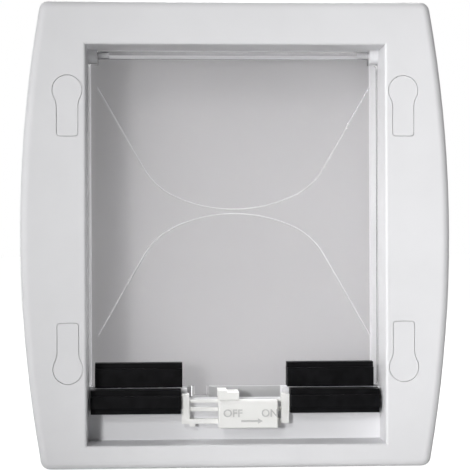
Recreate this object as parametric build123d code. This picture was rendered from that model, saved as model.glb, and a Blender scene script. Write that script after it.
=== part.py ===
from build123d import *
from math import cos, radians, sin, sqrt
import os

# frame outline, seen from the room
FRAME_W = 236.0
FRAME_H = 256.0
SIDE_BOW = 11.5
CORNER_R = 5.5
EDGE_R = 4.5
SKIN = 2.5
INNER_DEPTH = 12.0
DOOR_GAP = 42.0
OUTER_DEPTH = 12.0
RIB_PITCH = 24.0
RIB_T = 1.6
RIB_SETBACK = 1.5

# opening and tunnel
OPENING_W = 164.0
TOP_MARGIN = 24.0
BOTTOM_MARGIN = 13.0
LIP_R = 1.5
TUNNEL_WALL = 2.2
TUNNEL_PAST_DOOR = 4.0
SLEEVE_GAP = 0.4
SLEEVE_WALL = 2.0
SLEEVE_REACH = 31.0

# screws and their covers
SCREW_SPAN_X = 184.0
SCREW_TOP_Z = 79.0
SCREW_BOTTOM_Z = -73.0
SCREW_R = 2.5
SCREW_LENGTH = 54.0
SCREW_HEAD_R = 4.6
SCREW_HEAD_H = 2.7
SCREW_HOLE_R = 2.75
SCREW_FIT = 0.05
SCREW_TIP_GAP = 0.6
BOSS_R = 7.0
OUTER_BOSS_R = 5.6
SEAT_DEPTH = 6.2
COUNTERBORE_R = 5.2
COVER_HEAD_R = 8.0
COVER_TAIL_W = 11.4
COVER_TAIL_REACH = 25.0
COVER_NECK_R = 12.0
COVER_TAIL_R = 1.6
COVER_T = 2.0
COVER_SINK = 0.15
COVER_GAP = 0.3
COVER_SCREW_GAP = 0.3
COVER_SPIGOT_WALL = 1.0
COVER_SPIGOT_GAP = 0.15
PAD_RIM = 1.4
PAD_T = 2.2

# flap and hinge
FLAP_SETBACK = 29.0
FLAP_T = 3.0
FLAP_SIDE_GAP = 0.8
FLAP_CORNER_R = 2.0
BARREL_R = 2.5
BARREL_TOP_GAP = 0.3
PIN_R = 1.5
PIN_IN_BARREL = 6.0
PIN_END_GAP = 0.6
PIN_FIT = 0.05
CLIP_W = 5.0
CLIP_R = 4.6
CLIP_BARREL_GAP = 0.8
CLIP_SHOULDER_GAP = 0.8
CLIP_PEG_R = 1.2
CLIP_PEG_DROP = 2.9
PEG_FIT = 0.05

# raised ridges and ejector marks of the flap
RIDGE_R = 0.6
RIDGE_APEX_GAP = 2.5
RIDGE_MID_Z = 13.2
RIDGE_CROWN_R = 80.0
RIDGE_CROWN_ANGLE = 25.0
RIDGE_HAUNCH_R = 38.0
RIDGE_LEG_ANGLE = 60.0
RIDGE_END_X = 77.0
MARK_R = 1.6
MARK_DEPTH = 0.15
MARK_SPREAD = 44.0
MARK_RISE = 17.0
MARK_TOP_DROP = 6.5

# magnet holders
MAGNET_L = 44.0
MAGNET_D = 8.0
MAGNET_H = 5.0
MAGNET_FIT = 0.1
FLAP_HOLDER_W = 49.0
FLAP_HOLDER_X = 54.0
FLAP_HOLDER_D = 13.0
FLAP_HOLDER_H = 10.6
HOLDER_LEG_H = 3.0
HOLDER_LEG_T = 2.5
HOLDER_GRIP = 6.0
HOLDER_EDGE_R = 0.7
FLAP_SILL_GAP = 0.7
FLAP_EDGE_RISE = 0.3
SILL_HOLDER_W = 50.0
SILL_HOLDER_X = 55.5
SILL_HOLDER_D = 13.0
SILL_HOLDER_H = 13.2
SILL_FLANGE_H = 3.0
SILL_FLANGE_SETBACK = 3.0
SILL_MAGNET_DROP = 3.2
HOLDER_PEG_R = 1.5
HOLDER_PEG_SPREAD = 34.0
HOLDER_PEG_RISE = 2.6

# sill plate
SILL_FRONT = 12.0
SILL_T = 2.5
SILL_H = 28.7
NOTCH_W = 54.0
NOTCH_DEPTH = 5.7
REAR_SILL_GAP = 1.0
LUG_SIDE_GAP = 1.5

# lock rail
RAIL_L = 60.0
RAIL_T = 2.5
RAIL_STANDOFF = 4.0
RAIL_DROP = 5.9
RAIL_TOP_BAR = 1.4
RAIL_UPPER_WINDOW = 3.0
RAIL_MID_BAR = 1.8
RAIL_LOWER_WINDOW = 4.4
RAIL_FOOT_BAR = 2.6
RAIL_POST_W = 4.2
RAIL_POST_RISE = 3.2
RAIL_POST_FRONT = 2.4
RAIL_WINDOW_L = 51.0
RAIL_FOOT_W = 3.0
RAIL_FOOT_H = 1.6

# lock slider
SLIDER_L = 33.0
SLIDER_X = 6.8
SLIDER_TRAVEL = 14.5
SLIDER_OVER_RAIL = 0.4
SLIDER_BELOW_RAIL = 2.0
SLIDER_D = 6.2
SLIDER_WALL = 1.8
SLIDER_TOP_R = 2.6
SLIDER_EDGE_R = 0.8
SLIDER_RUN_GAP = 0.3
STEM_L = 18.0
STEM_GAP = 0.3
HOOK_T = 1.5
HOOK_RISE = 1.2
TONGUE_W = 11.6
TONGUE_STEP_W = 5.0
TONGUE_STEP_H = 1.0
TONGUE_FLAP_GAP = 1.7
TONGUE_BAR_GAP = 0.6
FORK_GAP = 0.6
FORK_PRONG_T = 2.0
FORK_WEB = 1.8
LUG_W = 7.0
LUG_BAR_GAP = 2.0

# positions that follow from the sizes above
FACE_Y = -INNER_DEPTH
DOOR_OUT_Y = DOOR_GAP
OUT_FACE_Y = DOOR_GAP + OUTER_DEPTH
HALF_OPEN = OPENING_W / 2
CEILING_Z = FRAME_H / 2 - TOP_MARGIN
FLOOR_Z = BOTTOM_MARGIN - FRAME_H / 2
SIDE_R = ((FRAME_H / 2) ** 2 + SIDE_BOW**2) / (2 * SIDE_BOW)
TUNNEL_END_Y = DOOR_OUT_Y + TUNNEL_PAST_DOOR
SLEEVE_START_Y = OUT_FACE_Y - SKIN - SLEEVE_REACH
SEAT_Y = FACE_Y + SEAT_DEPTH
RECESS_Y = FACE_Y + COVER_SINK + COVER_T
SPIGOT_END_Y = SEAT_Y - SCREW_HEAD_H - COVER_SCREW_GAP
FLAP_Y = FACE_Y + FLAP_SETBACK
FLAP_FRONT_Y = FLAP_Y - FLAP_T / 2
FLAP_BACK_Y = FLAP_Y + FLAP_T / 2
FLAP_HALF_W = HALF_OPEN - FLAP_SIDE_GAP
HINGE_Z = CEILING_Z - BARREL_TOP_GAP - BARREL_R
BARREL_HALF_L = HALF_OPEN - CLIP_W - CLIP_BARREL_GAP
SHOULDER_Z = HINGE_Z - CLIP_R - CLIP_SHOULDER_GAP
SILL_TOP_Z = FLOOR_Z + SILL_H
REAR_SILL_Y = FLAP_Y + FLAP_HOLDER_D / 2 + REAR_SILL_GAP
FLAP_HOLDER_BOTTOM_Z = SILL_TOP_Z + FLAP_SILL_GAP
FLAP_BOTTOM_Z = FLAP_HOLDER_BOTTOM_Z + FLAP_EDGE_RISE
FLAP_HOLDER_TOP_Z = FLAP_HOLDER_BOTTOM_Z + FLAP_HOLDER_H
GRIP_FLOOR_Z = FLAP_HOLDER_TOP_Z + HOLDER_LEG_H - HOLDER_GRIP
SILL_HOLDER_FRONT_Y = SILL_FRONT - SILL_HOLDER_D
SILL_HOLDER_BOTTOM_Z = SILL_TOP_Z - SILL_HOLDER_H
RAIL_BACK_Y = SILL_FRONT - RAIL_STANDOFF
RAIL_FRONT_Y = RAIL_BACK_Y - RAIL_T
RAIL_TOP_Z = SILL_TOP_Z - RAIL_DROP
UPPER_WINDOW_TOP_Z = RAIL_TOP_Z - RAIL_TOP_BAR
MID_BAR_TOP_Z = UPPER_WINDOW_TOP_Z - RAIL_UPPER_WINDOW
LOWER_WINDOW_TOP_Z = MID_BAR_TOP_Z - RAIL_MID_BAR
FOOT_BAR_TOP_Z = LOWER_WINDOW_TOP_Z - RAIL_LOWER_WINDOW
RAIL_BOTTOM_Z = FOOT_BAR_TOP_Z - RAIL_FOOT_BAR
SLIDER_LEFT_X = SLIDER_X - SLIDER_L / 2
SLIDER_RIGHT_X = SLIDER_X + SLIDER_L / 2
SLIDER_BACK_Y = RAIL_FRONT_Y - SLIDER_RUN_GAP
SLIDER_FRONT_Y = SLIDER_BACK_Y - SLIDER_D
SLIDER_TOP_Z = RAIL_TOP_Z + SLIDER_OVER_RAIL
SLIDER_BOTTOM_Z = RAIL_BOTTOM_Z - SLIDER_BELOW_RAIL
TONGUE_TOP_Z = FLAP_BOTTOM_Z - TONGUE_FLAP_GAP
TONGUE_BOTTOM_Z = RAIL_TOP_Z + TONGUE_BAR_GAP
LUG_X = SLIDER_LEFT_X - SLIDER_TRAVEL + (TONGUE_W - FORK_WEB) / 2
LUG_BOTTOM_Z = RAIL_TOP_Z + LUG_BAR_GAP
SCREW_X = SCREW_SPAN_X / 2
SCREW_SPOTS = [(side * SCREW_X, z) for z in (SCREW_TOP_Z, SCREW_BOTTOM_Z) for side in (-1, 1)]


def block(x0, x1, y0, y1, z0, z1):
    centre = Pos((x0 + x1) / 2, (y0 + y1) / 2, (z0 + z1) / 2)
    return centre * Box(abs(x1 - x0), abs(y1 - y0), abs(z1 - z0))


def prism(profile, y_front, y_back):
    return extrude(Plane.XZ.offset(-y_back) * profile, amount=y_back - y_front)


def rod_y(radius, x, z, y_front, y_back):
    return prism(Pos(x, z) * Circle(radius), y_front, y_back)


def rod_x(radius, y, z, x0, x1):
    return extrude(Plane.YZ.offset(x0) * Pos(y, z) * Circle(radius), amount=x1 - x0)


def bar_x(points, x0, x1):
    profile = make_face(Polyline(*points, close=True))
    return extrude(Plane.YZ.offset(x0) * profile, amount=x1 - x0)


def bowed_outline(inset, corner_r):
    half_h = FRAME_H / 2 - inset
    half_w = FRAME_W / 2 - inset
    reach = SIDE_R - inset
    end_w = FRAME_W / 2 - SIDE_R + sqrt(reach**2 - half_h**2)
    edges = [
        Line((-end_w, half_h), (end_w, half_h)),
        ThreePointArc((end_w, half_h), (half_w, 0), (end_w, -half_h)),
        Line((end_w, -half_h), (-end_w, -half_h)),
        ThreePointArc((-end_w, -half_h), (-half_w, 0), (-end_w, half_h)),
    ]
    outline = make_face(Curve() + edges)
    return fillet(outline.vertices(), corner_r)


def opening_rect(grow):
    height = CEILING_Z - FLOOR_Z + 2 * grow
    return Pos(0, (CEILING_Z + FLOOR_Z) / 2) * Rectangle(OPENING_W + 2 * grow, height)


def keyhole(grow, up):
    tail = COVER_TAIL_W / 2
    dip = sqrt((COVER_HEAD_R + COVER_NECK_R) ** 2 - (tail + COVER_NECK_R) ** 2)
    shape = Circle(COVER_HEAD_R)
    shape += Pos(0, -COVER_TAIL_REACH / 2) * Rectangle(COVER_TAIL_W, COVER_TAIL_REACH)
    share = COVER_HEAD_R / (COVER_HEAD_R + COVER_NECK_R)
    touch_x = (tail + COVER_NECK_R) * share
    touch_y = -dip * share
    corners = [(-touch_x, touch_y), (touch_x, touch_y), (tail, -dip), (-tail, -dip)]
    web = make_face(Polyline(*corners, close=True))
    necks = [Pos(side * (tail + COVER_NECK_R), -dip) * Circle(COVER_NECK_R) for side in (-1, 1)]
    shape = shape + (web - necks[0] - necks[1])
    corners = shape.vertices().sort_by(Axis.Y)[:2]
    shape = fillet(corners, COVER_TAIL_R)
    if grow:
        shape = offset(shape, grow)
    return shape if up else Rot(0, 0, 180) * shape


def front_fillet(solid, y, radius):
    edges = solid.edges().filter_by_position(Axis.Y, y - 0.001, y + 0.001)
    return fillet(edges, radius)


def lip_fillet(solid, y):
    edges = solid.edges().filter_by_position(Axis.Y, y - 0.001, y + 0.001)
    edges = edges.filter_by_position(Axis.X, -HALF_OPEN - 0.01, HALF_OPEN + 0.01)
    edges = edges.filter_by_position(Axis.Z, FLOOR_Z - 0.01, CEILING_Z + 0.01)
    return fillet(edges, LIP_R)


def rib_lattice(y_front, y_back):
    across = int(FRAME_W / 2 / RIB_PITCH)
    upward = int(FRAME_H / 2 / RIB_PITCH)
    ribs = []
    for k in range(-across, across + 1):
        x = k * RIB_PITCH
        ribs.append(block(x - RIB_T / 2, x + RIB_T / 2, y_front, y_back, -FRAME_H / 2, FRAME_H / 2))
    for k in range(-upward, upward + 1):
        z = k * RIB_PITCH
        ribs.append(block(-FRAME_W / 2, FRAME_W / 2, y_front, y_back, z - RIB_T / 2, z + RIB_T / 2))
    return ribs[0] + ribs[1:]


def inner_frame():
    shell = front_fillet(prism(bowed_outline(0, CORNER_R), FACE_Y, 0), FACE_Y, EDGE_R)
    hollow = prism(bowed_outline(SKIN, CORNER_R - SKIN), FACE_Y + SKIN, 0)
    hollow = front_fillet(hollow, FACE_Y + SKIN, EDGE_R - SKIN)
    core = prism(opening_rect(TUNNEL_WALL), FACE_Y, TUNNEL_END_Y)
    void = prism(opening_rect(0), FACE_Y, TUNNEL_END_Y)
    pads = []
    for x, z in SCREW_SPOTS:
        pad = Pos(x, z) * keyhole(COVER_GAP + PAD_RIM, z > 0)
        pads.append(prism(pad, FACE_Y + SKIN, RECESS_Y + PAD_T))
        pads.append(rod_y(BOSS_R, x, z, FACE_Y + SKIN, 0))
    ribs = rib_lattice(FACE_Y + SKIN, -RIB_SETBACK) & hollow
    body = shell - hollow + core + ribs + pads - void
    body = lip_fillet(body, FACE_Y)
    for x, z in SCREW_SPOTS:
        body -= prism(Pos(x, z) * keyhole(COVER_GAP, z > 0), FACE_Y, RECESS_Y)
        body -= rod_y(COUNTERBORE_R, x, z, FACE_Y, SEAT_Y)
        body -= rod_y(SCREW_HOLE_R, x, z, FACE_Y, 0)
    sill = block(-HALF_OPEN, HALF_OPEN, SILL_FRONT, SILL_FRONT + SILL_T, FLOOR_Z, SILL_TOP_Z)
    notch = NOTCH_W / 2
    sill -= block(-notch, notch, SILL_FRONT, SILL_FRONT + SILL_T, SILL_TOP_Z - NOTCH_DEPTH, SILL_TOP_Z)
    for side in (-1, 1):
        for step in (-1, 1):
            x = side * SILL_HOLDER_X + step * HOLDER_PEG_SPREAD / 2
            z = SILL_HOLDER_BOTTOM_Z + HOLDER_PEG_RISE
            sill -= rod_y(HOLDER_PEG_R + PEG_FIT, x, z, SILL_FRONT, SILL_FRONT + SILL_T)
    body += sill
    rear = block(-HALF_OPEN, HALF_OPEN, REAR_SILL_Y, REAR_SILL_Y + SILL_T, FLOOR_Z, SILL_TOP_Z)
    slit = LUG_W / 2 + LUG_SIDE_GAP
    slit_low = LUG_BOTTOM_Z - LUG_BAR_GAP
    rear -= block(LUG_X - slit, LUG_X + slit, REAR_SILL_Y, REAR_SILL_Y + SILL_T, slit_low, SILL_TOP_Z)
    body += rear
    peg_z = HINGE_Z - CLIP_PEG_DROP
    for side in (-1, 1):
        wall = side * HALF_OPEN
        body -= rod_x(CLIP_PEG_R + PEG_FIT, FLAP_Y, peg_z, wall, wall + side * TUNNEL_WALL)
    return body


def outer_frame():
    inner_y = OUT_FACE_Y - SKIN
    shell = front_fillet(prism(bowed_outline(0, CORNER_R), DOOR_OUT_Y, OUT_FACE_Y), OUT_FACE_Y, EDGE_R)
    hollow = prism(bowed_outline(SKIN, CORNER_R - SKIN), DOOR_OUT_Y, inner_y)
    hollow = front_fillet(hollow, inner_y, EDGE_R - SKIN)
    room = TUNNEL_WALL + SLEEVE_GAP
    core = prism(opening_rect(room + SLEEVE_WALL), SLEEVE_START_Y, OUT_FACE_Y)
    ribs = rib_lattice(DOOR_OUT_Y + RIB_SETBACK, inner_y) & hollow
    body = shell - hollow
    for x, z in SCREW_SPOTS:
        body += rod_y(OUTER_BOSS_R, x, z, DOOR_OUT_Y, inner_y)
    body = body + core + ribs
    body -= prism(opening_rect(room), SLEEVE_START_Y, inner_y)
    body -= prism(opening_rect(0), SLEEVE_START_Y, OUT_FACE_Y)
    body = lip_fillet(body, OUT_FACE_Y)
    hole_end = SEAT_Y + SCREW_LENGTH + SCREW_TIP_GAP
    for x, z in SCREW_SPOTS:
        body -= rod_y(SCREW_R + SCREW_FIT, x, z, DOOR_OUT_Y, hole_end)
    return body


def ridge(flip):
    apex = RIDGE_MID_Z + flip * RIDGE_APEX_GAP / 2
    crown = radians(RIDGE_CROWN_ANGLE)
    leg = radians(RIDGE_LEG_ANGLE)
    hub_x = (RIDGE_CROWN_R - RIDGE_HAUNCH_R) * sin(crown)
    hub_z = RIDGE_CROWN_R - (RIDGE_CROWN_R - RIDGE_HAUNCH_R) * cos(crown)

    def on_crown(angle):
        return (RIDGE_CROWN_R * sin(angle), RIDGE_CROWN_R * (1 - cos(angle)))

    def on_haunch(angle):
        return (hub_x + RIDGE_HAUNCH_R * sin(angle), hub_z - RIDGE_HAUNCH_R * cos(angle))

    knee = on_haunch(leg)
    end = (RIDGE_END_X, knee[1] + (RIDGE_END_X - knee[0]) * sin(leg) / cos(leg))

    def spot(point, side):
        return (side * point[0], FLAP_FRONT_Y, apex + flip * point[1])

    mid = (crown + leg) / 2
    path = Wire(
        [
            Edge.make_line(spot(end, -1), spot(knee, -1)),
            Edge.make_three_point_arc(spot(knee, -1), spot(on_haunch(mid), -1), spot(on_crown(crown), -1)),
            Edge.make_three_point_arc(spot(on_crown(crown), -1), spot((0, 0), 1), spot(on_crown(crown), 1)),
            Edge.make_three_point_arc(spot(on_crown(crown), 1), spot(on_haunch(mid), 1), spot(knee, 1)),
            Edge.make_line(spot(knee, 1), spot(end, 1)),
        ]
    )
    section = Plane(origin=path @ 0, z_dir=path % 0) * Circle(RIDGE_R)
    return sweep(section, path)


def flap_panel():
    plate = block(-FLAP_HALF_W, FLAP_HALF_W, FLAP_FRONT_Y, FLAP_BACK_Y, FLAP_BOTTOM_Z, SHOULDER_Z)
    upright = plate.edges().filter_by(Axis.Y)
    plate = fillet(upright, FLAP_CORNER_R)
    neck_z = SHOULDER_Z - FLAP_CORNER_R
    plate += block(-BARREL_HALF_L, BARREL_HALF_L, FLAP_FRONT_Y, FLAP_BACK_Y, neck_z, HINGE_Z)
    for side in (-1, 1):
        x0 = side * FLAP_HOLDER_X - FLAP_HOLDER_W / 2
        plate -= block(x0, x0 + FLAP_HOLDER_W, FLAP_FRONT_Y, FLAP_BACK_Y, FLAP_BOTTOM_Z, GRIP_FLOOR_Z)
    plate += rod_x(BARREL_R, FLAP_Y, HINGE_Z, -BARREL_HALF_L, BARREL_HALF_L)
    for side in (-1, 1):
        tip = side * BARREL_HALF_L
        plate -= rod_x(PIN_R, FLAP_Y, HINGE_Z, tip - side * PIN_IN_BARREL, tip)
    half = LUG_W / 2
    plate += block(LUG_X - half, LUG_X + half, FLAP_FRONT_Y, FLAP_BACK_Y, LUG_BOTTOM_Z, FLAP_BOTTOM_Z)
    marks = [(side * MARK_SPREAD, RIDGE_MID_Z + flip * MARK_RISE) for side in (-1, 1) for flip in (-1, 1)]
    marks.append((0, HINGE_Z - MARK_TOP_DROP))
    for x, z in marks:
        plate -= rod_y(MARK_R, x, z, FLAP_FRONT_Y, FLAP_FRONT_Y + MARK_DEPTH)
    plate += ridge(1)
    plate += ridge(-1)
    return plate


def hinge_pin(side):
    start = side * (BARREL_HALF_L - PIN_IN_BARREL)
    end = side * (HALF_OPEN - PIN_END_GAP)
    return rod_x(PIN_R, FLAP_Y, HINGE_Z, start, end)


def hinge_clip(side):
    wall = side * HALF_OPEN
    inner = wall - side * CLIP_W
    clip = rod_x(CLIP_R, FLAP_Y, HINGE_Z, inner, wall)
    clip += block(inner, wall, FLAP_Y - CLIP_R, FLAP_Y + CLIP_R, HINGE_Z, CEILING_Z)
    clip &= block(inner, wall, FLAP_Y - CLIP_R, FLAP_Y + CLIP_R, HINGE_Z - CLIP_R, CEILING_Z)
    clip += rod_x(CLIP_PEG_R, FLAP_Y, HINGE_Z - CLIP_PEG_DROP, wall, wall + side * TUNNEL_WALL)
    return clip - rod_x(PIN_R + PIN_FIT, FLAP_Y, HINGE_Z, inner, wall)


def flap_magnet_box(side, grow):
    outer = side * (FLAP_HOLDER_X + FLAP_HOLDER_W / 2)
    z_mid = (FLAP_HOLDER_BOTTOM_Z + GRIP_FLOOR_Z) / 2
    deep = MAGNET_D / 2 + grow
    low = z_mid - MAGNET_H / 2
    inner = outer - side * (MAGNET_L + grow)
    return block(inner, outer, FLAP_Y - deep, FLAP_Y + deep, low, low + MAGNET_H + grow)


def flap_magnet_holder(side):
    half = FLAP_HOLDER_D / 2
    leg = FLAP_T / 2 + HOLDER_LEG_T
    slot = FLAP_T / 2
    low = FLAP_HOLDER_BOTTOM_Z
    top = FLAP_HOLDER_TOP_Z
    crest = top + HOLDER_LEG_H
    profile = [
        (FLAP_Y - half, low), (FLAP_Y + half, low), (FLAP_Y + half, top), (FLAP_Y + leg, top),
        (FLAP_Y + leg, crest), (FLAP_Y + slot, crest), (FLAP_Y + slot, GRIP_FLOOR_Z),
        (FLAP_Y - slot, GRIP_FLOOR_Z), (FLAP_Y - slot, crest), (FLAP_Y - leg, crest),
        (FLAP_Y - leg, top), (FLAP_Y - half, top),
    ]
    x0 = side * FLAP_HOLDER_X - FLAP_HOLDER_W / 2
    holder = bar_x(profile, x0, x0 + FLAP_HOLDER_W)
    rims = holder.edges().filter_by_position(Axis.Y, FLAP_Y - half - 0.01, FLAP_Y - half + 0.01)
    rims += holder.edges().filter_by_position(Axis.Y, FLAP_Y + half - 0.01, FLAP_Y + half + 0.01)
    holder = fillet(rims, HOLDER_EDGE_R)
    return holder - flap_magnet_box(side, MAGNET_FIT)


def flap_magnet(side):
    return flap_magnet_box(side, 0)


def sill_magnet_box(side, grow):
    x = side * SILL_HOLDER_X
    half = MAGNET_L / 2 + grow
    top = SILL_TOP_Z - SILL_MAGNET_DROP
    return block(x - half, x + half, SILL_FRONT - MAGNET_D - grow, SILL_FRONT, top - MAGNET_H, top + grow)


def sill_magnet_holder(side):
    front = SILL_HOLDER_FRONT_Y
    flange = front + SILL_FLANGE_SETBACK
    low = SILL_HOLDER_BOTTOM_Z
    top = SILL_TOP_Z
    profile = [
        (flange, low), (SILL_FRONT, low), (SILL_FRONT, top), (flange, top),
        (flange, top - SILL_FLANGE_H), (front, top - SILL_FLANGE_H),
        (front, low + SILL_FLANGE_H), (flange, low + SILL_FLANGE_H),
    ]
    x0 = side * SILL_HOLDER_X - SILL_HOLDER_W / 2
    holder = bar_x(profile, x0, x0 + SILL_HOLDER_W)
    rims = holder.edges().filter_by_position(Axis.Y, front - 0.01, front + 0.01)
    holder = fillet(rims, HOLDER_EDGE_R)
    for step in (-1, 1):
        x = side * SILL_HOLDER_X + step * HOLDER_PEG_SPREAD / 2
        holder += rod_y(HOLDER_PEG_R, x, low + HOLDER_PEG_RISE, SILL_FRONT, SILL_FRONT + SILL_T)
    return holder - sill_magnet_box(side, MAGNET_FIT)


def sill_magnet(side):
    return sill_magnet_box(side, 0)


def lock_rail():
    half = RAIL_L / 2
    window = RAIL_WINDOW_L / 2
    rail = block(-half, half, RAIL_FRONT_Y, RAIL_BACK_Y, RAIL_BOTTOM_Z, RAIL_TOP_Z)
    rail -= block(-window, window, RAIL_FRONT_Y, RAIL_BACK_Y, MID_BAR_TOP_Z, UPPER_WINDOW_TOP_Z)
    rail -= block(-window, window, RAIL_FRONT_Y, RAIL_BACK_Y, FOOT_BAR_TOP_Z, LOWER_WINDOW_TOP_Z)
    for side in (-1, 1):
        inner = side * (half - RAIL_POST_W)
        post_front = RAIL_FRONT_Y - RAIL_POST_FRONT
        post_top = RAIL_TOP_Z + RAIL_POST_RISE
        rail += block(inner, side * half, post_front, SILL_FRONT, LOWER_WINDOW_TOP_Z, post_top)
        foot = side * window
        foot_low = RAIL_BOTTOM_Z - RAIL_FOOT_H
        rail += block(foot - side * RAIL_FOOT_W, foot, RAIL_FRONT_Y, SILL_FRONT, foot_low, FOOT_BAR_TOP_Z)
    return rail


def lock_slider():
    x0 = SLIDER_LEFT_X
    x1 = SLIDER_RIGHT_X
    body = block(x0, x1, SLIDER_FRONT_Y, SLIDER_BACK_Y, SLIDER_BOTTOM_Z, SLIDER_TOP_Z)
    top_front = body.edges().filter_by(Axis.X).sort_by(Axis.Y)[:2].sort_by(Axis.Z)[-1:]
    body = fillet(top_front, SLIDER_TOP_R)
    rims = body.edges().filter_by_position(Axis.Y, SLIDER_FRONT_Y - 0.01, SLIDER_FRONT_Y + 0.01)
    rims = rims.sort_by(Axis.Z)[:-1]
    body = fillet(rims, SLIDER_EDGE_R)
    wall = SLIDER_WALL
    shell_y = SLIDER_FRONT_Y + wall
    brow_z = SLIDER_TOP_Z - SLIDER_TOP_R
    body -= block(x0 + wall, x1 - wall, shell_y, SLIDER_BACK_Y, SLIDER_BOTTOM_Z + wall, brow_z)
    stem_top = LOWER_WINDOW_TOP_Z - STEM_GAP
    stem_low = FOOT_BAR_TOP_Z + STEM_GAP
    stem0 = SLIDER_X - STEM_L / 2
    stem1 = SLIDER_X + STEM_L / 2
    hook_y = RAIL_BACK_Y + SLIDER_RUN_GAP
    body += block(stem0, stem1, shell_y, hook_y + HOOK_T, stem_low, stem_top)
    body += block(stem0, stem1, hook_y, hook_y + HOOK_T, stem_low, stem_top + STEM_GAP + HOOK_RISE)
    tongue1 = x0 + TONGUE_W
    slot_front = FLAP_FRONT_Y - FORK_GAP
    slot_back = FLAP_BACK_Y + FORK_GAP
    reach = slot_back + FORK_PRONG_T
    root_y = SLIDER_FRONT_Y + SLIDER_TOP_R
    body += block(x0, tongue1, root_y, reach, TONGUE_BOTTOM_Z, TONGUE_TOP_Z - TONGUE_STEP_H)
    body += block(x0, x0 + TONGUE_STEP_W, root_y, reach, TONGUE_BOTTOM_Z, TONGUE_TOP_Z)
    body += block(x0, tongue1, root_y, SLIDER_BACK_Y, brow_z, TONGUE_BOTTOM_Z)
    body -= block(x0, tongue1 - FORK_WEB, slot_front, slot_back, TONGUE_BOTTOM_Z, TONGUE_TOP_Z)
    return body


def screw_cover(x, z):
    cover = prism(Pos(x, z) * keyhole(0, z > 0), RECESS_Y - COVER_T, RECESS_Y)
    ring = COUNTERBORE_R - COVER_SPIGOT_GAP
    spigot = rod_y(ring, x, z, RECESS_Y, SPIGOT_END_Y)
    spigot -= rod_y(ring - COVER_SPIGOT_WALL, x, z, RECESS_Y, SPIGOT_END_Y)
    return cover + spigot


def fixing_screws():
    screws = []
    for x, z in SCREW_SPOTS:
        shank = rod_y(SCREW_R, x, z, SEAT_Y, SEAT_Y + SCREW_LENGTH)
        head = rod_y(SCREW_HEAD_R, x, z, SEAT_Y - SCREW_HEAD_H, SEAT_Y)
        screws.append((shank + head).solid())
    return Compound(children=screws)


os.makedirs("parts", exist_ok=True)
export_step(inner_frame(), "parts/inner_frame.step")
export_step(outer_frame(), "parts/outer_frame.step")
export_step(flap_panel(), "parts/flap_panel.step")
for name, side in (("left", -1), ("right", 1)):
    export_step(hinge_pin(side), f"parts/hinge_pin_{name}.step")
    export_step(hinge_clip(side), f"parts/hinge_clip_{name}.step")
    export_step(flap_magnet_holder(side), f"parts/flap_magnet_holder_{name}.step")
    export_step(flap_magnet(side), f"parts/flap_magnet_{name}.step")
    export_step(sill_magnet_holder(side), f"parts/sill_magnet_holder_{name}.step")
    export_step(sill_magnet(side), f"parts/sill_magnet_{name}.step")
export_step(lock_rail(), "parts/lock_rail.step")
export_step(lock_slider(), "parts/lock_slider.step")
for label, (x, z) in zip(("top_left", "top_right", "bottom_left", "bottom_right"), SCREW_SPOTS):
    export_step(screw_cover(x, z), f"parts/screw_cover_{label}.step")
export_step(fixing_screws(), "parts/fixing_screws.step")
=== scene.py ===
import math
import bpy
import bmesh
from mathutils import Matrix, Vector


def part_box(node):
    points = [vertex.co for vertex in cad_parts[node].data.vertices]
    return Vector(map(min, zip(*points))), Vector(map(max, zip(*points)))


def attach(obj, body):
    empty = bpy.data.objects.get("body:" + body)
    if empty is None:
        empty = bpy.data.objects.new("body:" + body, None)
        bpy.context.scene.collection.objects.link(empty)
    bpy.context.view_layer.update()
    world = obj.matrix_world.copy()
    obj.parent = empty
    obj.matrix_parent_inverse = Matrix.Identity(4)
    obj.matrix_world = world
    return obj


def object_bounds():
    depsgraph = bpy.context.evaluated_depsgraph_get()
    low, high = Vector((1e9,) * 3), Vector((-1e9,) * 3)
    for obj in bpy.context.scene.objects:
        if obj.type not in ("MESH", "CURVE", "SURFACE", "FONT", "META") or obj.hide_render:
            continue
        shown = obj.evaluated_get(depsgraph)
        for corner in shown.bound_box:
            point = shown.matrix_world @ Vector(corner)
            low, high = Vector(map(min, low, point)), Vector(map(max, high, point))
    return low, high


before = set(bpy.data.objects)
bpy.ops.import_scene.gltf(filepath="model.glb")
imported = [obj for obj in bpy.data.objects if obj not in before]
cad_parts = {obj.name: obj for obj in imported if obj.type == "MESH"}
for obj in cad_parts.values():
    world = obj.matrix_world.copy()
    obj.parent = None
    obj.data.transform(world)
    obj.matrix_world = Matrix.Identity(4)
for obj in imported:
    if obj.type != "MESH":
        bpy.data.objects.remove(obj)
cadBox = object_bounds()
print("stage: frame loaded", len(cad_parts), "nodes")


def openMaterial(name):
    mat = bpy.data.materials.new(name)
    mat.use_nodes = True
    tree = mat.node_tree
    coord = tree.nodes.new("ShaderNodeTexCoord")
    return mat, tree, tree.nodes["Principled BSDF"], coord.outputs["Object"]


def addNoise(tree, coord, noise):
    tex = tree.nodes.new("ShaderNodeTexNoise")
    for socket, value in zip(("Scale", "Detail", "Roughness"), noise):
        tex.inputs[socket].default_value = value
    tree.links.new(coord, tex.inputs["Vector"])
    return tex.outputs["Fac"]


def greyTone(level):
    return (level, level, level, 1.0)


def addRamp(tree, fac, low, high, span=(0.3, 0.7)):
    ramp = tree.nodes.new("ShaderNodeValToRGB")
    for stop, place, tone in zip(ramp.color_ramp.elements, span, (low, high)):
        stop.position = place
        stop.color = (*tone, 1.0) if isinstance(tone, tuple) else greyTone(tone)
    tree.links.new(fac, ramp.inputs["Fac"])
    return ramp.outputs["Color"]


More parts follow.
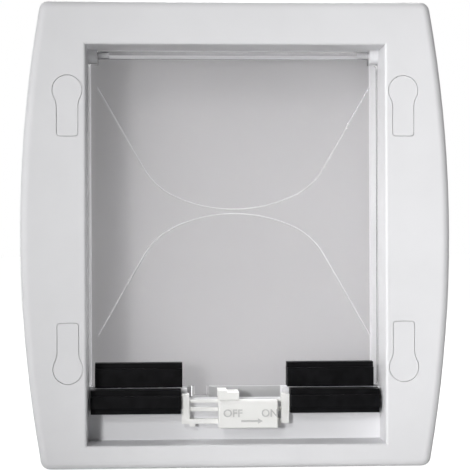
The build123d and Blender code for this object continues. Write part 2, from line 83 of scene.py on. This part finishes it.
def addBump(tree, height, depth, strength=1.0, under=None):
    bump = tree.nodes.new("ShaderNodeBump")
    bump.inputs["Distance"].default_value = depth
    bump.inputs["Strength"].default_value = strength
    tree.links.new(height, bump.inputs["Height"])
    if under is not None:
        tree.links.new(under, bump.inputs["Normal"])
    return bump.outputs["Normal"]


def addMath(tree, operation, one, two):
    step = tree.nodes.new("ShaderNodeMath")
    step.operation = operation
    tree.links.new(one, step.inputs[0])
    tree.links.new(two, step.inputs[1])
    return step.outputs[0]


def dressNodes(names, mat):
    for name in names:
        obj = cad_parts[name]
        obj.data.materials.clear()
        obj.data.materials.append(mat)


# white mouldings: satin skin with a fine spark grain and faint flow tones, and painted shade where a
# shade box is given
framePlastic = {
    "light": (0.805, 0.805, 0.822),
    "dull": (0.780, 0.780, 0.796),
    "rough": (0.30, 0.42),
    "flow": (35.0, 3.0, 0.5),  # each noise is scale, detail, roughness
    "flowDepth": 0.00012,
    "flowStrength": 0.5,
    "sheen": (140.0, 4.0, 0.5),
    "grain": (2600.0, 2.0, 0.5),
    "grainDepth": 0.000016,
    "ior": 1.46,
    "specular": 0.12,
}

# painted shade on the face of the rear sill plate, in the hollow between the sill plates where it
# shows through the notch
sillPaintedShade = {
    "tone": 0.30,
    "low": (-0.0268, 0.0240, -0.0930),
    "high": (0.0268, 0.0258, -0.0861),
    "edge": 0.0006,
}


def boxMask(tree, coord, low, high, edge):
    split = tree.nodes.new("ShaderNodeSeparateXYZ")
    tree.links.new(coord, split.inputs[0])
    inside = None
    for axis in range(3):
        for limit, past in ((low[axis], edge), (high[axis], -edge)):
            step = tree.nodes.new("ShaderNodeMapRange")
            step.inputs["From Min"].default_value = limit
            step.inputs["From Max"].default_value = limit + past
            tree.links.new(split.outputs[axis], step.inputs["Value"])
            here = step.outputs["Result"]
            inside = here if inside is None else addMath(tree, "MULTIPLY", inside, here)
    return inside


# lays a flat grey over the skin inside a soft-edged box: painted shade
def paintShadeOver(tree, coord, skin, dustAndShade):
    mix = tree.nodes.new("ShaderNodeMixRGB")
    mix.inputs["Color2"].default_value = greyTone(dustAndShade["tone"])
    mask = boxMask(tree, coord, dustAndShade["low"], dustAndShade["high"], dustAndShade["edge"])
    tree.links.new(mask, mix.inputs["Fac"])
    tree.links.new(skin, mix.inputs["Color1"])
    return mix.outputs["Color"]


def whiteMoulding(name, look, dustAndShade=None):
    mat, tree, shader, coord = openMaterial(name)
    flow = addNoise(tree, coord, look["flow"])
    skin = addRamp(tree, flow, look["dull"], look["light"])
    # painted shade of the sill hollow, where a shade box is given
    if dustAndShade is not None:
        skin = paintShadeOver(tree, coord, skin, dustAndShade)
    tree.links.new(skin, shader.inputs["Base Color"])
    sheen = addNoise(tree, coord, look["sheen"])
    tree.links.new(addRamp(tree, sheen, *look["rough"]), shader.inputs["Roughness"])
    wave = addBump(tree, flow, look["flowDepth"], look["flowStrength"])
    grain = addNoise(tree, coord, look["grain"])
    tree.links.new(addBump(tree, grain, look["grainDepth"], under=wave), shader.inputs["Normal"])
    shader.inputs["IOR"].default_value = look["ior"]
    shader.inputs["Specular IOR Level"].default_value = look["specular"]
    return mat


sides = ("left", "right")
whiteNodes = ["inner_frame", "outer_frame"]
whiteNodes += [f"hinge_{piece}_{side}" for piece in ("clip", "pin") for side in sides]
whiteNodes += [f"screw_cover_{level}_{side}" for level in ("top", "bottom") for side in sides]
# the frame's white carries the painted shade of the sill hollow
dressNodes(whiteNodes, whiteMoulding("frameWhite", framePlastic, sillPaintedShade))

# the lock's plastic is a touch creamier than the frame
lockPlastic = dict(
    framePlastic,
    light=(0.885, 0.885, 0.87),
    dull=(0.86, 0.86, 0.84),
    rough=(0.34, 0.46),
)
dressNodes(["lock_rail", "lock_slider"], whiteMoulding("lockWhite", lockPlastic))

# clear flap: polished sheet with a slow moulding wave and hairline scuffs
flapClear = {
    "tint": (0.960, 0.955, 0.960),
    "rough": (0.012, 0.03),
    "scuff": (70.0, 3.0, 0.6),
    "scuffSpan": (0.45, 0.75),
    "wave": (14.0, 1.0, 0.5),
    "waveDepth": 0.0002,
    "waveStrength": 0.4,
    "ior": 1.49,
    "lightPassed": 0.68,  # share of a lamp's light that one face lets by
}


def clearSheet(name, look):
    mat, tree, shader, coord = openMaterial(name)
    shader.inputs["Transmission Weight"].default_value = 1.0
    shader.inputs["IOR"].default_value = look["ior"]
    shader.inputs["Base Color"].default_value = (*look["tint"], 1.0)
    scuff = addNoise(tree, coord, look["scuff"])
    polish = addRamp(tree, scuff, *look["rough"], look["scuffSpan"])
    tree.links.new(polish, shader.inputs["Roughness"])
    wave = addNoise(tree, coord, look["wave"])
    ripple = addBump(tree, wave, look["waveDepth"], look["waveStrength"])
    tree.links.new(ripple, shader.inputs["Normal"])
    veil = tree.nodes.new("ShaderNodeBsdfTransparent")
    veil.inputs["Color"].default_value = greyTone(look["lightPassed"])
    path = tree.nodes.new("ShaderNodeLightPath")
    either = tree.nodes.new("ShaderNodeMixShader")
    tree.links.new(path.outputs["Is Shadow Ray"], either.inputs["Fac"])
    tree.links.new(shader.outputs["BSDF"], either.inputs[1])
    tree.links.new(veil.outputs["BSDF"], either.inputs[2])
    tree.links.new(either.outputs["Shader"], tree.nodes["Material Output"].inputs["Surface"])
    return mat


clearFlap = clearSheet("flapClear", flapClear)
dressNodes(["flap_panel"], clearFlap)

# black magnet holders
holderPlastic = {
    "deep": (0.0022, 0.0022, 0.0026),
    "dusty": (0.0075, 0.0075, 0.0085),
    "rough": (0.34, 0.5),
    "dustAndShade": (160.0, 5.0, 0.5),
    "dustSpan": (0.35, 0.75),
    "grain": (1700.0, 2.0, 0.5),
    "grainDepth": 0.000014,
    "ior": 1.45,
    "specular": 0.06,
}


def blackMoulding(name, look):
    mat, tree, shader, coord = openMaterial(name)
    # on the holders this noise is a random dust tone only
    dustAndShade = addNoise(tree, coord, look["dustAndShade"])
    skin = addRamp(tree, dustAndShade, look["deep"], look["dusty"], look["dustSpan"])
    tree.links.new(skin, shader.inputs["Base Color"])
    tree.links.new(addRamp(tree, dustAndShade, *look["rough"]), shader.inputs["Roughness"])
    grain = addNoise(tree, coord, look["grain"])
    tree.links.new(addBump(tree, grain, look["grainDepth"]), shader.inputs["Normal"])
    shader.inputs["IOR"].default_value = look["ior"]
    shader.inputs["Specular IOR Level"].default_value = look["specular"]
    return mat


holderNodes = [f"{place}_magnet_holder_{side}" for place in ("flap", "sill") for side in sides]
dressNodes(holderNodes, blackMoulding("holderBlack", holderPlastic))

# sintered magnet bars
magnetBar = {
    "dark": (0.03, 0.03, 0.032),
    "pale": (0.085, 0.085, 0.09),
    "rough": (0.5, 0.75),
    "speck": (2200.0, 4.0, 0.7),
    "speckSpan": (0.4, 0.7),
    "speckDepth": 0.00002,
}


def sinteredBar(name, look):
    mat, tree, shader, coord = openMaterial(name)
    speck = addNoise(tree, coord, look["speck"])
    skin = addRamp(tree, speck, look["dark"], look["pale"], look["speckSpan"])
    tree.links.new(skin, shader.inputs["Base Color"])
    tree.links.new(addRamp(tree, speck, *look["rough"]), shader.inputs["Roughness"])
    tree.links.new(addBump(tree, speck, look["speckDepth"]), shader.inputs["Normal"])
    return mat


magnetNodes = [f"{place}_magnet_{side}" for place in ("flap", "sill") for side in sides]
dressNodes(magnetNodes, sinteredBar("magnetGrey", magnetBar))

# zinc-bright screws
zincSteel = {
    "bright": (0.62, 0.62, 0.61),
    "dull": (0.46, 0.46, 0.45),
    "rough": (0.26, 0.42),
    "cloud": (700.0, 4.0, 0.5),
    "cloudSpan": (0.35, 0.7),
}


def zincPlate(name, look):
    mat, tree, shader, coord = openMaterial(name)
    shader.inputs["Metallic"].default_value = 1.0
    cloud = addNoise(tree, coord, look["cloud"])
    skin = addRamp(tree, cloud, look["dull"], look["bright"], look["cloudSpan"])
    tree.links.new(skin, shader.inputs["Base Color"])
    tree.links.new(addRamp(tree, cloud, *look["rough"]), shader.inputs["Roughness"])
    return mat


dressNodes(["fixing_screws"], zincPlate("zincSteel", zincSteel))
print("stage: materials on every node")


def addPiece(name, mesh, mat):
    obj = bpy.data.objects.new(name, mesh)
    bpy.context.collection.objects.link(obj)
    mesh.name = name
    mesh.materials.clear()
    mesh.materials.append(mat)
    return obj


def meshFrom(bm, name):
    mesh = bpy.data.meshes.new(name)
    bm.to_mesh(mesh)
    bm.free()
    return mesh


# raised ON and OFF words and the arrow on the slider's front, in a grey that paints the shade of
# their relief
slideMarks = {
    "raise": 0.00055,
    "sink": 0.0001,  # how far a mark starts inside the slider's face
    "letterDepth": 0.05,  # on the font's own scale, before the word is sized
    "letterWeight": 0.01,
    "wordOff": {"text": "OFF", "centre": (-0.00175, -0.09895), "size": (0.0105, 0.0043)},
    "wordOn": {"text": "ON", "centre": (0.0185, -0.09895), "size": (0.0087, 0.0043)},
    "arrow": {"from": 0.0028, "to": 0.0148, "z": -0.1034, "shaft": 0.0011, "head": 0.0030},
    "arrowPoint": 0.9,  # the head's length as a share of its width
    "arrowRound": 0.35,  # the rounded edge as a share of the raise
    "arrowSteps": 2,
    # grey tones for the marks: painted shade of the raised relief
    "pale": (0.66, 0.66, 0.655),
    "dull": (0.58, 0.58, 0.575),
}
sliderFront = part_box("lock_slider")[0][1]
markRoot = sliderFront + slideMarks["sink"]
markFace = sliderFront - slideMarks["raise"]
# the lock's plastic greyed down: a painted-shade copy for the marks
markShadePlastic = dict(lockPlastic, light=slideMarks["pale"], dull=slideMarks["dull"])
markPaintedShade = whiteMoulding("markPaintedShade", markShadePlastic)


def addMark(name, mesh):
    obj = addPiece(name, mesh, markPaintedShade)
    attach(obj, "lock")


def letterMesh(name, text, marks):
    curve = bpy.data.curves.new(name + "Curve", "FONT")
    curve.body = text
    curve.align_x = "CENTER"
    curve.align_y = "CENTER"
    curve.extrude = marks["letterDepth"]
    curve.offset = marks["letterWeight"]
    obj = bpy.data.objects.new(name + "Text", curve)
    bpy.context.collection.objects.link(obj)
    bpy.context.view_layer.update()
    shaped = obj.evaluated_get(bpy.context.evaluated_depsgraph_get())
    mesh = bpy.data.meshes.new_from_object(shaped)
    bpy.data.objects.remove(obj)
    return mesh


def raisedWord(name, marks):
    word = marks[name]
    mesh = letterMesh(name, word["text"], marks)
    lows = [min(v.co[axis] for v in mesh.vertices) for axis in range(3)]
    highs = [max(v.co[axis] for v in mesh.vertices) for axis in range(3)]
    midX = (lows[0] + highs[0]) / 2
    midY = (lows[1] + highs[1]) / 2
    scaleX = word["size"][0] / (highs[0] - lows[0])
    scaleY = word["size"][1] / (highs[1] - lows[1])
    depth = highs[2] - lows[2]
    for v in mesh.vertices:
        out = (v.co.z - lows[2]) / depth
        v.co = Vector((
            word["centre"][0] + (v.co.x - midX) * scaleX,
            markRoot + out * (markFace - markRoot),
            word["centre"][1] + (v.co.y - midY) * scaleY,
        ))
    addMark(name, mesh)


def raisedArrow(name, marks):
    arrow = marks["arrow"]
    shaft = arrow["shaft"] / 2
    head = arrow["head"] / 2
    neck = arrow["to"] - arrow["head"] * marks["arrowPoint"]
    upper = [(arrow["to"], 0.0), (neck, head), (neck, shaft), (arrow["from"], shaft)]
    lower = [(x, -rise) for x, rise in reversed(upper[1:])]
    bm = bmesh.new()
    corners = [bm.verts.new((x, markRoot, arrow["z"] + rise)) for x, rise in lower + upper]
    grown = bmesh.ops.extrude_face_region(bm, geom=[bm.faces.new(corners)])
    for v in [g for g in grown["geom"] if isinstance(g, bmesh.types.BMVert)]:
        v.co.y = markFace
    bmesh.ops.recalc_face_normals(bm, faces=bm.faces)
    rim = [e for e in bm.edges if all(v.co.y < sliderFront for v in e.verts)]
    roundOff = marks["raise"] * marks["arrowRound"]
    bmesh.ops.bevel(bm, geom=rim, offset=roundOff, segments=marks["arrowSteps"], affect="EDGES")
    addMark(name, meshFrom(bm, name))


raisedWord("wordOff", slideMarks)
raisedWord("wordOn", slideMarks)
raisedArrow("slideArrow", slideMarks)
print("stage: slider marks raised")

flapFaces = (0.0155, 0.0185)  # the clear sheet's room face and outdoor face

# white lines riding on the crests of the flap's two curved ridges: a painted highlight
ridgeHighlightLine = {
    "midZ": 0.0132,
    "apexGap": 0.0025,
    "crownRadius": 0.080,
    "crownTurn": 25.0,
    "haunchRadius": 0.038,
    "legTurn": 60.0,
    "endX": 0.0766,
    "stepAngle": 1.5,
    "height": 0.0006,
    "thick": 0.00036,
    "tipShare": 0.35,
    "section": ((-1.0, -0.6), (-0.6, 0.25), (0.0, 0.5), (0.6, 0.25), (1.0, -0.6)),  # across, out
}
# pale, mostly opaque paint for the painted highlight on the crests
crestHighlightPaint = {
    "pale": (0.93, 0.94, 0.94),
    "dull": (0.70, 0.70, 0.70),
    "cloud": (26.0, 3.0, 0.5),
    "clearness": 0.15,
    "rough": 0.22,
    "ior": 1.49,
}


def crestHighlightMaterial(name, look):
    mat, tree, shader, coord = openMaterial(name)
    cloud = addNoise(tree, coord, look["cloud"])
    tree.links.new(addRamp(tree, cloud, look["dull"], look["pale"]), shader.inputs["Base Color"])
    shader.inputs["Transmission Weight"].default_value = look["clearness"]
    shader.inputs["Roughness"].default_value = look["rough"]
    shader.inputs["IOR"].default_value = look["ior"]
    return mat


def crestLine(look, flip):
    crown = look["crownRadius"]
    haunch = look["haunchRadius"]
    meet = math.radians(look["crownTurn"])
    hubX = (crown - haunch) * math.sin(meet)
    hubZ = crown - (crown - haunch) * math.cos(meet)
    half = []
    steps = int(look["legTurn"] / look["stepAngle"])
    for k in range(steps + 1):
        turn = look["legTurn"] * k / steps
        a = math.radians(turn)
        if turn <= look["crownTurn"]:
            half.append((crown * math.sin(a), crown * (1 - math.cos(a))))
        else:
            half.append((hubX + haunch * math.sin(a), hubZ - haunch * math.cos(a)))
    kneeX, kneeZ = half[-1]
    legSlope = math.tan(math.radians(look["legTurn"]))
    half.append((look["endX"], kneeZ + (look["endX"] - kneeX) * legSlope))
    whole = [(-x, z) for x, z in reversed(half[1:])] + half
    return [(x, look["midZ"] + flip * (look["apexGap"] / 2 + z)) for x, z in whole]


def crestHighlightPiece(name, look, flip, mat):
    front = flapFaces[0] - look["height"]
    line = crestLine(look, flip)
    last = len(line) - 1
    bm = bmesh.new()
    rings = []
    for k, (x, z) in enumerate(line):
        before = line[max(k - 1, 0)]
        after = line[min(k + 1, last)]
        way = Vector((after[0] - before[0], 0.0, after[1] - before[1])).normalized()
        across = Vector((-way.z, 0.0, way.x))
        taper = look["tipShare"] if k in (0, last) else 1.0
        ring = []
        for side, out in look["section"]:
            spot = Vector((x, front, z)) + across * (side * look["thick"] * taper)
            spot.y -= out * look["thick"] * taper
            ring.append(bm.verts.new(spot))
        rings.append(ring)
    for one, two in zip(rings, rings[1:]):
        for k in range(len(one)):
            n = (k + 1) % len(one)
            bm.faces.new((one[k], one[n], two[n], two[k]))
    bm.faces.new(rings[0])
    bm.faces.new(list(reversed(rings[-1])))
    bmesh.ops.recalc_face_normals(bm, faces=bm.faces)
    mesh = meshFrom(bm, name)
    mesh.shade_smooth()
    obj = addPiece(name, mesh, mat)
    obj.visible_shadow = False
    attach(obj, "flap")


# the crest lines carry a painted highlight
crestGlint = crestHighlightMaterial("crestGlint", crestHighlightPaint)
crestHighlightPiece("ridgeHighlightUpper", ridgeHighlightLine, 1.0, crestGlint)
crestHighlightPiece("ridgeHighlightLower", ridgeHighlightLine, -1.0, crestGlint)
print("stage: ridge crests on the flap")

# clear rim round the flap's lug, inside the notch that the lug swings through
lugRim = {
    "x": (-0.0240, -0.0229, -0.0157, -0.0146),
    "y": (0.0158, 0.0182),
    "z": (-0.0914, -0.0903, -0.0854),
}


def clearStrips(name, span, strips):
    bm = bmesh.new()
    for left, right, bottom, top in strips:
        middle = Vector(((left + right) / 2, sum(span) / 2, (bottom + top) / 2))
        size = (abs(right - left), span[1] - span[0], top - bottom)
        for v in bmesh.ops.create_cube(bm, size=1.0)["verts"]:
            v.co = middle + Vector(c * w for c, w in zip(v.co, size))
    obj = addPiece(name, meshFrom(bm, name), clearFlap)
    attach(obj, "flap")


def rimPiece(name, look):
    x0, x1, x2, x3 = look["x"]
    low, lap, top = look["z"]
    clearStrips(name, look["y"], [(x0, x1, low, top), (x2, x3, low, top), (x1, x2, low, lap)])


rimPiece("lugRim", lugRim)

# thin clear bead on the flap's side edges and round the hinge clips
edgeBead = {
    "x": (0.0762, 0.0768, 0.0812, 0.0818),
    "y": flapFaces,
    "z": (-0.0853, 0.0958, 0.0964, 0.1030),
}


def beadPiece(name, look):
    inner, neck, edge, outer = look["x"]
    bottom, shoulder, lap, top = look["z"]
    strips = []
    for side in (-1.0, 1.0):
        strips.append((side * edge, side * outer, bottom, lap))
        strips.append((side * neck, side * edge, shoulder, lap))
        strips.append((side * inner, side * neck, shoulder, top))
    clearStrips(name, look["y"], strips)


beadPiece("flapBead", edgeBead)
print("stage: rim round the lug and bead round the flap")


def flatBoard(name, corners, mat):
    mesh = bpy.data.meshes.new(name)
    mesh.from_pydata(corners, [], [(0, 1, 2, 3)])
    obj = addPiece(name, mesh, mat)
    return obj


# 1 for what is seen straight on, mirrored or through clear plastic
def seenRays(tree):
    path = tree.nodes.new("ShaderNodeLightPath")
    seen = path.outputs["Is Camera Ray"]
    for kind in ("Is Glossy Ray", "Is Transmission Ray"):
        seen = addMath(tree, "MAXIMUM", seen, path.outputs[kind])
    return seen


def mottled(tree, coord, look):
    dull = tuple(c * look["dullShare"] for c in look["tone"])
    return addRamp(tree, addNoise(tree, coord, look["mottle"]), dull, look["tone"])


# pale floor: near white where it is seen, and mirrored it is as plain as the world
floorLook = {
    "drop": 0.0005,
    "reach": 8.0,
    "tone": (0.80, 0.80, 0.79),
    "dullShare": 0.985,
    "mottle": (3.0, 2.0, 0.5),
    "rough": 0.9,
    "glow": 0.95,
}


def paleFloor(name, look):
    mat, tree, shader, coord = openMaterial(name)
    paint = tree.nodes.new("ShaderNodeMixRGB")
    paint.inputs["Color2"].default_value = greyTone(0.0)
    mirrored = tree.nodes.new("ShaderNodeLightPath")
    tree.links.new(mirrored.outputs["Is Glossy Ray"], paint.inputs["Fac"])
    tree.links.new(mottled(tree, coord, look), paint.inputs["Color1"])
    tree.links.new(paint.outputs["Color"], shader.inputs["Base Color"])
    shader.inputs["Roughness"].default_value = look["rough"]
    shader.inputs["Specular IOR Level"].default_value = 0.0
    glow = tree.nodes.new("ShaderNodeMath")
    glow.operation = "MULTIPLY"
    glow.inputs[1].default_value = look["glow"]
    tree.links.new(seenRays(tree), glow.inputs[0])
    shader.inputs["Emission Color"].default_value = greyTone(1.0)
    tree.links.new(glow.outputs[0], shader.inputs["Emission Strength"])
    z = cadBox[0][2] - look["drop"]
    s = look["reach"]
    flatBoard(name, [(-s, -s, z), (s, -s, z), (s, s, z), (-s, s, z)], mat)


# grey card behind the part, seen only through clear plastic
cardLook = {
    "gap": 0.001,
    "halfWidth": 0.0875,
    "z": (-0.120, 0.110),
    "tone": (0.445, 0.44, 0.445),
    "dullShare": 0.98,
    "mottle": (12.0, 2.0, 0.5),
    "rough": 0.9,
}


def backCard(name, look):
    mat, tree, shader, coord = openMaterial(name)
    tree.links.new(mottled(tree, coord, look), shader.inputs["Base Color"])
    shader.inputs["Roughness"].default_value = look["rough"]
    y = cadBox[1][1] + look["gap"]
    x = look["halfWidth"]
    low, high = look["z"]
    card = flatBoard(name, [(-x, y, low), (x, y, low), (x, y, high), (-x, y, high)], mat)
    card.visible_camera = False
    card.visible_diffuse = False
    card.visible_glossy = False
    card.visible_shadow = False


# white world where it is seen, and a weak fill for everything else
surroundLook = {"fill": 0.07, "seen": 1.0}


def whiteSurround(name, look):
    world = bpy.data.worlds.new(name)
    bpy.context.scene.world = world
    world.use_nodes = True
    tree = world.node_tree
    back = tree.nodes["Background"]
    level = tree.nodes.new("ShaderNodeMapRange")
    level.inputs["To Min"].default_value = look["fill"]
    level.inputs["To Max"].default_value = look["seen"]
    tree.links.new(seenRays(tree), level.inputs["Value"])
    tree.links.new(level.outputs["Result"], back.inputs["Strength"])
    back.inputs["Color"].default_value = greyTone(1.0)


paleFloor("paleFloor", floorLook)
backCard("backCard", cardLook)
whiteSurround("whiteSurround", surroundLook)

# a soft key from the room's left, weak lamps further round and above, one behind for the outdoor side
lampSet = {
    "key": {
        "place": (-0.57, -1.52, 0.12), "aim": (0.34, 0.0, 0.0),
        "size": 0.20, "watts": 1.15, "spread": 46.0,
    },
    "side": {
        "place": (-1.15, -0.50, 0.12), "aim": (0.45, 0.0, 0.0),
        "size": 0.3, "watts": 0.17, "spread": 24.0,
    },
    "top": {
        "place": (-0.50, -1.30, 0.62), "aim": (0.10, 0.0, 0.0),
        "size": 0.3, "watts": 0.52, "spread": 60.0,
    },
    "back": {
        "place": (0.1, 1.3, 1.45), "aim": (0.0, 0.05, 0.0),
        "size": 0.6, "watts": 10.0, "spread": 120.0,
    },
}


def softLamp(name, look):
    data = bpy.data.lights.new(name, "AREA")
    data.shape = "DISK"
    data.size = look["size"]
    data.energy = look["watts"]
    data.spread = math.radians(look["spread"])
    lamp = bpy.data.objects.new(name, data)
    bpy.context.collection.objects.link(lamp)
    lamp.location = look["place"]
    way = Vector(look["aim"]) - Vector(look["place"])
    lamp.rotation_euler = way.to_track_quat("-Z", "Y").to_euler()


for lampName, lampLook in lampSet.items():
    softLamp(lampName + "Lamp", lampLook)

# camera in the room, level and a little to the left
viewSet = {
    "place": (-0.0399, -0.811, -0.0002),
    "lens": 112.1,
    "sensor": 36.0,
    "tilt": 90.0,
    "roll": 0.19,
    "turn": -2.8,
}


def roomCamera(name, look):
    data = bpy.data.cameras.new(name)
    data.lens = look["lens"]
    data.sensor_width = look["sensor"]
    data.sensor_fit = "HORIZONTAL"
    camera = bpy.data.objects.new(name, data)
    bpy.context.collection.objects.link(camera)
    camera.location = look["place"]
    camera.rotation_euler = [math.radians(look[angle]) for angle in ("tilt", "roll", "turn")]
    bpy.context.scene.camera = camera


roomCamera("roomCamera", viewSet)
bpy.context.scene.view_settings.view_transform = "Standard"
print("stage: floor, lamps and camera set")
